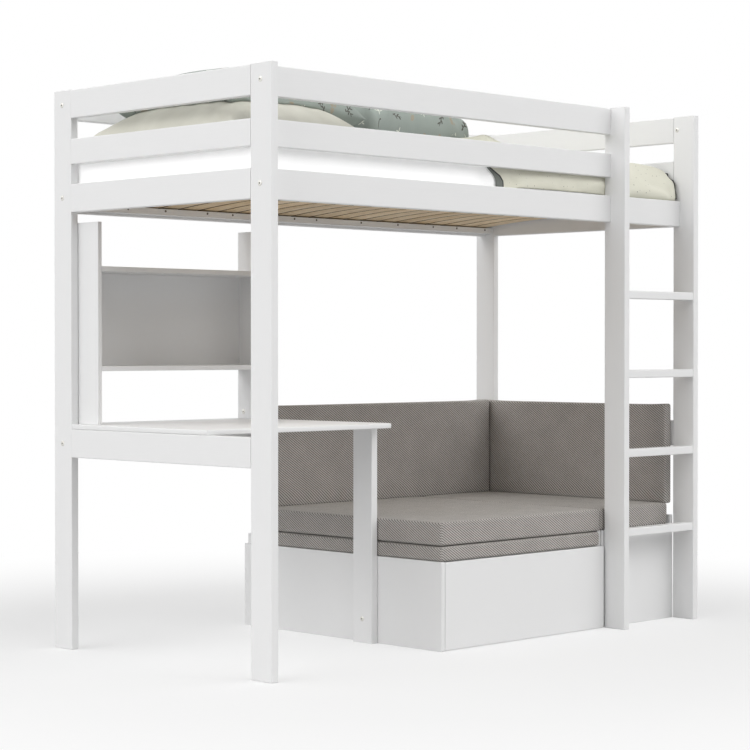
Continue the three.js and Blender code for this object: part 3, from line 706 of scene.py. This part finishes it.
def wovenCotton(name, base, shade):
    # plain-woven cotton: fine over-and-under threads, uneven slubs and soft cloudy shading
    material, tree, shader, place = newMaterial(name, cloth=True, Roughness=0.9, Sheen_Weight=0.15,
                                                Sheen_Roughness=0.6)
    waves = []
    for direction in ("X", "Y"):
        wave = addNode(tree, "TexWave", {"wave_type": "BANDS", "bands_direction": direction, "Distortion": 0.6,
                       "Scale": 1 / (cotton["weave"] * mm * 20)}, {"Vector": place})
        waves.append(wave.outputs[1])
    weave = addNode(tree, "Math", {"operation": "MULTIPLY"}, {0: waves[0], 1: waves[1]})
    slub = addNode(tree, "TexNoise", {"Scale": 1 / (cotton["slub"] * mm), "Detail": 3, "Roughness": 0.6},
                   {"Vector": place})
    cloud = addNode(tree, "TexNoise", {"Scale": 9, "Detail": 2}, {"Vector": place})
    tint = addNode(tree, "Mix", {"data_type": "RGBA", 6: linear(base), 7: linear(shade)}, {0: cloud.outputs[0]})
    height = addNode(tree, "Math", {"operation": "MULTIPLY_ADD", 1: 0.5},
                     {0: slub.outputs[0], 2: weave.outputs[0]})
    bump = addNode(tree, "Bump", {"Strength": 0.5, "Distance": 0.3 * mm}, {"Height": height.outputs[0]})
    feed(tree, shader, Base_Color=tint.outputs[2], Normal=bump.outputs[0])
    return material, tree, shader, place, tint.outputs[2]


def speckledCotton(name):
    # cream cotton with small brown flecks of seed scattered through it
    material, tree, shader, place, tint = wovenCotton(name, cotton["cream"], cotton["creamShade"])
    cells = addNode(tree, "TexVoronoi", {"voronoi_dimensions": "2D", "Scale": 1 / (cotton["speckPitch"] * mm),
                    "Randomness": 1.0}, {"Vector": place})
    split = addNode(tree, "SeparateXYZ", links={0: cells.outputs["Color"]})
    radius = addNode(tree, "Math", {"operation": "MULTIPLY", 1: 0.075}, {0: split.outputs[0]})
    inside = addNode(tree, "Math", {"operation": "LESS_THAN"},
                     {0: cells.outputs["Distance"], 1: radius.outputs[0]})
    some = addNode(tree, "Math", {"operation": "GREATER_THAN", 1: 0.45}, {0: split.outputs[1]})
    share = addNode(tree, "Math", {"operation": "MULTIPLY"}, {0: inside.outputs[0], 1: some.outputs[0]})
    soft = addNode(tree, "Math", {"operation": "MULTIPLY", 1: 0.75}, {0: share.outputs[0]})
    flecked = addNode(tree, "Mix", {"data_type": "RGBA", 7: linear(cotton["speck"])},
                      {0: soft.outputs[0], 6: tint})
    feed(tree, shader, Base_Color=flecked.outputs[2])
    return material


def printedCotton(name):
    # sage green cotton, printed with scattered twigs, seed pods and small white blossoms
    material, tree, shader, place, tint = wovenCotton(name, cotton["sage"], cotton["sageShade"])
    cells = addNode(tree, "TexVoronoi", {"voronoi_dimensions": "2D", "Scale": 1 / (leafPrint["pitch"] * mm),
                    "Randomness": 0.55}, {"Vector": place})
    offset = addNode(tree, "VectorMath", {"operation": "SUBTRACT"}, {0: place, 1: cells.outputs["Position"]})
    split = addNode(tree, "SeparateXYZ", links={0: cells.outputs["Color"]})
    angle = addNode(tree, "Math", {"operation": "MULTIPLY", 1: 2 * math.pi}, {0: split.outputs[0]})
    smaller = addNode(tree, "VectorMath", {"operation": "SCALE", "Scale": 1 / leafPrint["size"]},
                      {0: offset.outputs[0]})
    turned = addNode(tree, "VectorRotate", {"rotation_type": "Z_AXIS"},
                     {"Vector": smaller.outputs[0], "Angle": angle.outputs[0]})

    def stroke(at, tilt, length, width):  # a rounded stroke: 1 inside, its middle at a place on the motif
        moved = addNode(tree, "VectorMath", {"operation": "SUBTRACT", 1: (at[0] * mm, at[1] * mm, 0)},
                        {0: turned.outputs[0]})
        spun = addNode(tree, "VectorRotate", {"rotation_type": "Z_AXIS", "Angle": math.radians(tilt)},
                       {"Vector": moved.outputs[0]})
        squeeze = (1 / (length * mm), 1 / (width * mm), 0)
        squeezed = addNode(tree, "VectorMath", {"operation": "MULTIPLY", 1: squeeze}, {0: spun.outputs[0]})
        reach = addNode(tree, "VectorMath", {"operation": "LENGTH"}, {0: squeezed.outputs[0]})
        return addNode(tree, "Math", {"operation": "LESS_THAN", 1: 1.0}, {0: reach.outputs["Value"]}).outputs[0]

    def anyOf(parts):
        total = parts[0]
        for part in parts[1:]:
            total = addNode(tree, "Math", {"operation": "MAXIMUM"}, {0: total, 1: part}).outputs[0]
        return total

    def chosen(lowest, highest, share):  # only on the cells whose random number lies between
        above = addNode(tree, "Math", {"operation": "GREATER_THAN", 1: lowest}, {0: split.outputs[1]})
        below = addNode(tree, "Math", {"operation": "LESS_THAN", 1: highest}, {0: split.outputs[1]})
        both = addNode(tree, "Math", {"operation": "MULTIPLY"}, {0: above.outputs[0], 1: below.outputs[0]})
        return addNode(tree, "Math", {"operation": "MULTIPLY"}, {0: both.outputs[0], 1: share}).outputs[0]

    long = leafPrint["twigLength"]
    leaves = [(-0.55, 3.4, 40), (-0.15, -3.6, -38), (0.25, 3.2, 36), (0.62, -3.0, -34)]
    twig = anyOf([stroke((0, 0), 0, long, 1.1), stroke((1.1 * long, 0), 0, 4.2, 2.2)]
                 + [stroke((at * long, away), tilt, 5.2, 1.9) for at, away, tilt in leaves])
    pod = anyOf([stroke((0, 0), 0, leafPrint["podLength"], 5.6), stroke((6, 10), 25, 5, 2.6)])
    size = leafPrint["blossomSize"]
    petals = [(0.5 * size * math.cos(math.radians(turn)), 0.5 * size * math.sin(math.radians(turn)), turn)
              for turn in (30, 90, 150)]
    blossom = anyOf([stroke((x, y), -turn, 0.42 * size, 1.5) for x, y, turn in petals]
                    + [stroke((0, -0.45 * size), 90, 7.5, 1.0)])
    for lowest, highest, motif, ink in ((0.0, 0.38, twig, "twig"), (0.38, 0.62, pod, "pod"),
                                        (0.62, 1.0, blossom, "blossom")):
        tint = addNode(tree, "Mix", {"data_type": "RGBA", 7: linear(leafPrint[ink])},
                       {0: chosen(lowest, highest, motif), 6: tint}).outputs[2]
    feed(tree, shader, Base_Color=tint)
    return material


whiteKnit, _, knitGlowShader = wovenCotton("whiteMattressCover", cotton["white"], cotton["white"])[:3]
# painted light: the cover glows a little, so that it looks brighter than the lamps light it
knitGlowShader.inputs["Emission Color"].default_value = (1, 1, 1, 1)
knitGlowShader.inputs["Emission Strength"].default_value = 0.16
creamCotton = speckledCotton("creamCotton")
plainCream = wovenCotton("plainCreamCotton", cotton["pillow"], cotton["pillowShade"])[0]
greyReverse = wovenCotton("greyReverseCotton", cotton["reverse"], cotton["reverse"])[0]
pipingCord = wovenCotton("blackPiping", cotton["piping"], cotton["piping"])[0]
sageCotton = printedCotton("sagePrintedCotton")


def rimOf(rows, columns):  # true all round the edges of a grid
    rim = np.ones((rows, columns), bool)
    rim[1:-1, 1:-1] = False
    return rim


def sewnBag(name, over, under):
    # two sheets of cloth sewn together round their edges; each sheet is a grid of points
    rows, columns = over.shape[:2]
    rim = rimOf(rows, columns)
    topIndex = np.arange(rows * columns).reshape(rows, columns)
    lowIndex = topIndex.copy()
    lowIndex[~rim] = rows * columns + np.arange((~rim).sum())
    place = np.vstack([over.reshape(-1, 3), under[~rim]])
    faces, where = [], []
    first, last = slice(None, -1), slice(1, None)
    for index, sheet, order in ((topIndex, over, 1), (lowIndex, under, -1)):
        cloth = clothLengths(sheet)
        corner = [(first, first), (last, first), (last, last), (first, last)][::order]
        faces.append(np.stack([index[c] for c in corner], -1).reshape(-1, 4))
        where.append(np.stack([cloth[c] for c in corner], -2).reshape(-1, 2))
    faces = np.vstack(faces)
    mesh = bpy.data.meshes.new(name)
    mesh.from_pydata([tuple(p) for p in place], [], [tuple(int(k) for k in f) for f in faces])
    layer = mesh.uv_layers.new(name="cloth")
    layer.data.foreach_set("uv", np.vstack(where).astype(np.float32).ravel())
    piece = bpy.data.objects.new(name, mesh)
    bpy.context.scene.collection.objects.link(piece)
    return piece, len(faces) // 2


def clothLengths(sheet):  # a sheet's points by how far they lie along the cloth from its middle lines
    out = []
    for axis in (0, 1):
        steps = np.linalg.norm(np.diff(sheet, axis=axis), axis=2)
        edge = np.zeros_like(np.take(steps, [0], axis=axis))
        run = np.concatenate([edge, np.cumsum(steps, axis=axis)], axis=axis)
        out.append(run - np.take(run, [sheet.shape[axis] // 2], axis=axis))
    return np.stack(out, -1)


def liftOver(piece, lower, gap):  # raises the points that would lie in the piece below
    tree = BVHTree.FromObject(lower, bpy.context.evaluated_depsgraph_get())
    co = points(piece)
    for p in co:
        hit = tree.ray_cast(Vector((p[0], p[1], 3)), Vector((0, 0, -1)))[0]
        if hit is not None and p[2] < hit.z + gap:
            p[2] = hit.z + gap
    setPoints(piece, co)


def gathers(a, b, size):  # small folds that run in from the seams, deepest at the corners
    fromSeam = np.minimum((1 - np.abs(a)) * size["length"], (1 - np.abs(b)) * size["width"]) / 2
    reach = np.exp(-fromSeam / 70) * np.clip(fromSeam / 12, 0, 1)
    turn = np.arctan2(b, a)
    fold = sum(np.sin(k * turn + k * k * 0.7 + size["above"]) / (1 + k * 0.03) for k in (17, 23, 31)) / 3
    long = np.sin(9 * a + 4 * b + size["above"]) * np.sin(5 * b - 6 * a + 1)
    corner = np.clip(np.abs(a * b), 0, 1)
    return size["fold"] * (fold * reach * (0.5 + corner) * 1.6 + 0.35 * long * (1 - a ** 4) * (1 - b ** 4))


def pillowSheets(size, count):  # the two sheets about the pillow's middle
    reach = math.pi / 2 * 0.8  # so that rows are closer near the seams
    spread = [np.sin(np.linspace(-1, 1, n + 1) * reach) / math.sin(reach) for n in count]
    a, b = np.meshgrid(*spread, indexing="ij")
    fullness = ((1 - a ** 4) * (1 - b ** 4)) ** size["plump"]
    x = size["length"] / 2 * a * (1 - size["drawIn"] * (1 - b * b))
    y = size["width"] / 2 * b * (1 - size["drawIn"] * (1 - a * a))
    wave = gathers(a, b, size)[..., None]
    hang = -size["droop"] * np.clip((a - 0.2) / 0.8, 0, 1) ** 2  # its free end hangs
    sheets = []
    for swell, share in ((size["above"], 1), (-size["below"], 0.5)):
        sheet = np.stack([x, y, swell * fullness + hang], -1)
        out = np.cross(np.gradient(sheet, axis=0), np.gradient(sheet, axis=1))
        sheets.append((sheet + wave * share * out / np.linalg.norm(out, axis=-1, keepdims=True)) * mm)
    return sheets


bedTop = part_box("mattress")[1].z
pillows = {
    "cream_head_pillow": {
        "node": "cream_pillow", "middle": (-719, 20, 72.6), "fill": 0.7,
        "length": 589, "width": 703, "above": 104, "below": 69, "plump": 0.85, "drawIn": 0.05,
        "loosen": 0.04, "travel": 5, "fold": 8, "droop": 0,
    },
    "upper_pillow": {
        "node": "upper_printed_pillow", "middle": (-655, 50, 164), "fill": 0.7,
        "length": 588, "width": 598, "above": 116, "below": 86, "plump": 0.7, "drawIn": 0.05,
        "loosen": 0.04, "travel": 5, "fold": 5, "droop": 34,
    },
    "side_pillow": {
        "node": "side_printed_pillow", "middle": (-116.5, 40, 100.4), "fill": 0.75,
        "length": 440, "width": 608, "above": 107, "below": 96, "plump": 0.27, "drawIn": 0.02,
        "loosen": 0.05, "travel": 6, "fold": 14, "droop": 0,
    },
}
filling = {"cell": 13, "pressure": 4.0, "clear": (0.6, 0.5), "crown": 5}  # the crown may stand above its solid


def stuffedPillow(name, material, slotName, below):
    size = pillows[name]
    count = [round(size[key] / filling["cell"]) for key in ("length", "width")]
    over, under = pillowSheets(size, count)
    middle = np.array(size["middle"]) * mm + [0, 0, bedTop]
    piece, _ = sewnBag(name, over + middle, under + middle)
    blowUp(piece, filling["pressure"], size["loosen"], size["travel"] * mm)
    low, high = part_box(size["node"])
    for lower in below:
        liftOver(piece, lower, filling["clear"][0] * mm)
    finer(piece)
    for lower in below:
        liftOver(piece, lower, filling["clear"][1] * mm)
    keepIn(piece, np.array(low) + 0.3 * mm, np.array(high) + np.array([-0.3, -0.3, filling["crown"]]) * mm)
    paint(piece, material)
    ride(piece, slotName, size["node"])
    return piece


bed = foamCushion("mattress_block", "mattress")
co = points(bed)  # it lies on the bowed slats
co[:, 2] = np.maximum(co[:, 2], slatTop + slatBow(co[:, 1]) + (strap["thick"] + 0.3) * mm)
# and swells a little into the room beside it, except behind the duvet's flap
swell = 8 * mm
low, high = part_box("mattress")
headHalf = ease(-co[:, 0], 0.012, 0.07)
sides = ((0, -1, low.x, 1), (0, 1, high.x, 0.5), (1, -1, low.y, headHalf), (1, 1, high.y, 1))
for axis, side, edge, share in sides:
    co[:, axis] += side * swell * share * ease(side * (co[:, axis] - edge), -0.045, -0.006)
setPoints(bed, co)
paint(bed, whiteKnit)
creamPillow = stuffedPillow("cream_head_pillow", plainCream, "cream_cotton", [bed])
stuffedPillow("upper_pillow", sageCotton, "sage_print", [creamPillow])
print("mattress and head pillows are made")

duvet = {
    "left": -2,
    "right": 1006,
    "front": -437.6,
    "tuck": -430.4,  # the inner side of the flap, beside the mattress
    "back": 467,
    "flapBottom": 1508,
    "headHeight": 100,
    "footHeight": 50,
    "settle": 3,  # how soon its height falls from the head to the foot
    "foldHeight": 2,
    "foldPitch": 210,
    "foldSkew": 160,
    "endRound": 40,
    "frontRound": (34, 84),  # behind the guard rail, and in the ladder's opening
    "roundGrows": (540, 680),
    "opening": (648, 700),
    "openingEnd": (985, 1006),
    "overRail": 26,  # how far it swells out over the bed rail in the opening
    "overRailLow": 1520,
    "hem": 36,
    "hemRows": 6,  # rows of faces in the hem, which is turned over beside the mattress
    "slant": 51,
    "slantTop": 1590,
    "slantDrop": 50,
    "pipe": 2.6,
    "cell": 15,
    "pressure": 2.5,
    "loosen": 0.05,
    "travel": 9,
}
gapSwell = {"out": 10, "more": 13, "moreFrom": (420, 590), "from": (60, 130), "until": (600, 612), "low": 1517,
            "height": 58}
limit = {"rail": -438.5, "opening": -466, "railEnd": 645, "railTop": 1515.5}  # how far out it may come


def besideBed(u, z, long):  # where the flap's free edge runs down in a curve; its hem narrows towards the top
    hem = duvet["hem"]
    down = ease(duvet["slantTop"] - z, 0, duvet["slantDrop"])
    edge, turned = duvet["slant"] * down, hem * (0.35 + 0.65 * down)
    rest = (long - edge - turned) / (long - hem)
    return duvet["left"] + np.where(u < hem, edge + turned * u / hem, edge + turned + (u - hem) * rest)


def betweenRails(x, z):  # how far it swells out between the bed rail and the middle rail
    out = gapSwell["out"] + gapSwell["more"] * ease(x, *gapSwell["moreFrom"])
    along = ease(x, *gapSwell["from"]) * (1 - ease(x, *gapSwell["until"]))
    height = np.clip((z - gapSwell["low"]) / gapSwell["height"], 0, 1)
    return out * along * np.sin(height * math.pi) ** 0.7


def duvetSheets():
    d = duvet
    long = d["right"] - d["left"]
    ends = [0, 1.5, 5, 11, 18, 26]
    steps = ends + [d["hem"], 46, 58]
    middle = np.linspace(72, long - 40, round((long - 112) / d["cell"]))
    along = np.array(steps + list(middle) + [long - e for e in ends[::-1]])
    base = bedTop / mm + 0.4
    wallLow = d["flapBottom"]
    width = d["back"] - d["front"]
    count = round((130 + width) / d["cell"])  # its front takes about 130 mm more than its width
    u, s = np.meshgrid(along, np.linspace(0, 1, count + 1), indexing="ij")
    share = u / long
    fromEnd = np.minimum(u, long - u)
    endRise = np.sqrt(1 - (1 - np.clip(fromEnd / d["endRound"], 0, 1)) ** 2)
    x = u + d["left"]
    tight, wide = d["frontRound"]
    radius = tight + (wide - tight) * ease(x, *d["roundGrows"])
    top = d["front"] + radius  # where its top begins
    puff = d["footHeight"] + (d["headHeight"] - d["footHeight"]) * (1 - share) ** d["settle"]

    def topAt(y):
        turn = 2 * math.pi * (u + (y - d["front"]) / width * d["foldSkew"]) / d["foldPitch"]
        backRise = np.sqrt(1 - np.clip((y - (d["back"] - 45)) / 45, 0, 1) ** 2)
        return base + 1 + (puff + d["foldHeight"] * np.sin(turn)) * endRise * backRise

    wallTop = topAt(top) - radius * endRise
    wall = np.maximum(wallTop - wallLow, 20)
    arc = radius * math.pi / 2
    flatRun = width - radius
    p = s * (wall + arc + flatRun)
    angle = np.clip((p - wall) / arc, 0, 1) * math.pi / 2
    onWall, onArc = p < wall, (p >= wall) & (p < wall + arc)
    behind = np.where(onArc, d["front"] + radius * (1 - np.cos(angle)), top + p - wall - arc)
    y = np.minimum(np.where(onWall, d["front"], behind), d["back"])
    z = np.where(onWall, wallLow + p, np.where(onArc, wallTop + radius * endRise * np.sin(angle), topAt(y)))
    # in the ladder's opening it swells out over the bed rail
    opening = ease(x, *d["opening"]) * (1 - ease(x, *d["openingEnd"]) * 0.1)
    low = d["overRailLow"]
    height = np.clip((z - low) / np.maximum(topAt(top) - low, 1), 0, 1)
    outward = opening * ease(z, low - 6, low + 2) * np.cos(height * math.pi / 2) ** 0.8
    y = y - d["overRail"] * outward * (y < top + 1)
    y = y - betweenRails(x, z) * (y < top)
    y = np.where(y < top, d["tuck"] + (y - d["tuck"]) * endRise ** 0.6, y)
    over = np.stack([besideBed(u, z, long), y, z], -1) * mm
    # the inner sheet: up beside the mattress, then back along its top
    flapHeight = base - wallLow
    q = s * (flapHeight + d["back"] - d["tuck"])
    innerY = np.where(q < flapHeight, d["tuck"], d["tuck"] + q - flapHeight)
    innerZ = np.where(q < flapHeight, wallLow + q, base)
    under = np.stack([besideBed(u, innerZ, long), innerY, innerZ], -1) * mm
    rim = rimOf(*u.shape)
    over[rim] = (over[rim] + under[rim]) / 2  # both sheets meet in the seam
    return over, under


def puffedDuvet():
    over, under = duvetSheets()
    piece, half = sewnBag("duvet_cover", over, under)
    rows, columns = over.shape[:2]
    held = piece.vertex_groups.new(name="held")
    held.add(list(range(rows * columns, len(piece.data.vertices))), 1.0, "REPLACE")
    blowUp(piece, duvet["pressure"], duvet["loosen"], duvet["travel"] * mm, held="held")
    piece.vertex_groups.clear()
    for index, face in enumerate(piece.data.polygons):
        turned = index < duvet["hemRows"] * (columns - 1) and over[0, index % (columns - 1), 2] < bedTop
        face.material_index = 1 if index >= half or turned else 0
    return piece, rows, columns


spread, rows, columns = puffedDuvet()
guard = points(spread)
outer = np.arange(len(guard)) < rows * columns
flap = outer & (guard[:, 2] < bedTop - 2 * mm)
guard[flap, 1] = np.minimum(guard[flap, 1], (duvet["tuck"] - 0.6) * mm)
railSide = (limit["rail"] - betweenRails(guard[:, 0] / mm, guard[:, 2] / mm)) * mm
farthest = np.where(guard[:, 0] < limit["railEnd"] * mm, railSide, limit["opening"] * mm)
guard[:, 1] = np.maximum(guard[:, 1], farthest)
low = guard[:, 2] < limit["railTop"] * mm
guard[low, 1] = np.maximum(guard[low, 1], limit["rail"] * mm)
setPoints(spread, guard)
outerRows = points(spread)[:rows * columns].reshape(rows, columns, 3)
pipeLine = outerRows[duvet["hemRows"]]
pipeLine = pipeLine[pipeLine[:, 2] < bedTop + 20 * mm][:20]
endLine = outerRows[rows - 4] + np.array([1.2, -0.4, 1.6]) * mm  # the cord stands proud of the edge
finer(spread)
co, out = points(spread), vectorsOf(spread.data.vertices, "normal")
# the flap's two faces stay apart
beside = (co[:, 2] < bedTop - 0.5 * mm) & (co[:, 1] < (duvet["tuck"] + 12) * mm)
front, inner = beside & (out[:, 1] < -0.2), beside & (out[:, 1] > 0.2)
co[front, 1] = np.minimum(co[front, 1], (duvet["tuck"] - 1.5) * mm)
co[inner, 1] = np.maximum(co[inner, 1], (duvet["tuck"] - 0.5) * mm)
# the swelling rests on the rail
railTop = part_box("ladder_bed_rail")[1].z
low = (co[:, 0] > 655 * mm) & (co[:, 1] < (limit["rail"] - 1) * mm) & (co[:, 2] < railTop + 26 * mm)
co[low, 2] = railTop + mm + np.clip((co[low, 2] - railTop - 8 * mm) / (18 * mm), 0, 1) * 25 * mm
setPoints(spread, co)
liftOver(spread, bed, 0.3 * mm)
spread.data.materials.append(creamCotton)
spread.data.materials.append(greyReverse)
ride(spread, "cream_cotton", "duvet")


def sewnPiping(name, line):  # a covered cord along a line of points
    curve = bpy.data.curves.new(name, "CURVE")
    curve.dimensions = "3D"
    curve.bevel_depth = duvet["pipe"] * mm
    curve.bevel_resolution = 2
    spline = curve.splines.new("POLY")
    spline.points.add(len(line) - 1)
    for point, place in zip(spline.points, line):
        point.co = (*place, 1)
    cord = bpy.data.objects.new(name, curve)
    bpy.context.scene.collection.objects.link(cord)
    only(cord)
    bpy.ops.object.convert(target="MESH")
    cord = bpy.context.object
    boxMap(cord)
    paint(cord, pipingCord)
    bpy.ops.object.shade_smooth()
    ride(cord, "cream_cotton")
    return cord


sewnPiping("duvet_piping_head", pipeLine)
sewnPiping("duvet_piping_foot", endLine)
stuffedPillow("side_pillow", sageCotton, "sage_print", [bed, spread])
print("bedding is made")
